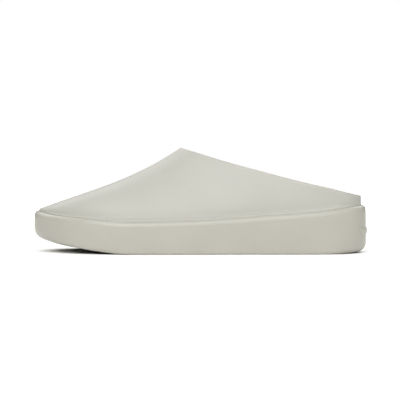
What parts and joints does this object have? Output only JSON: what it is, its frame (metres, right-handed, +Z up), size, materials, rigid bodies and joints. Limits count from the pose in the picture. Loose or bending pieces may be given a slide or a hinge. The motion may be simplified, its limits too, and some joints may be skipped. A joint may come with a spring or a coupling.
{
  "type": "slip-on shoe",
  "caption": "Backless slip-on sneaker of moulded foam: a smooth closed-toe upper set into a thick round-edged sole with toe spring, with a foam footbed inside.",
  "frame": {"origin": "middle of the bounding box's base, on the floor under the shoe", "axes": "+Z up; the toe points to -X and the heel to +X; +Y is the inner side of the foot and -Y the outer side"},
  "size_m": [0.2908, 0.112, 0.0904],
  "materials": {
    "sole": "matte moulded foam, pale warm grey",
    "upper": "matte moulded foam, pale warm grey",
    "insole": "matte foam, pale warm grey"
  },
  "bodies": {
    "root": {"sole": "sole", "upper": "upper", "insole": "insole"}
  },
  "joints": []
}
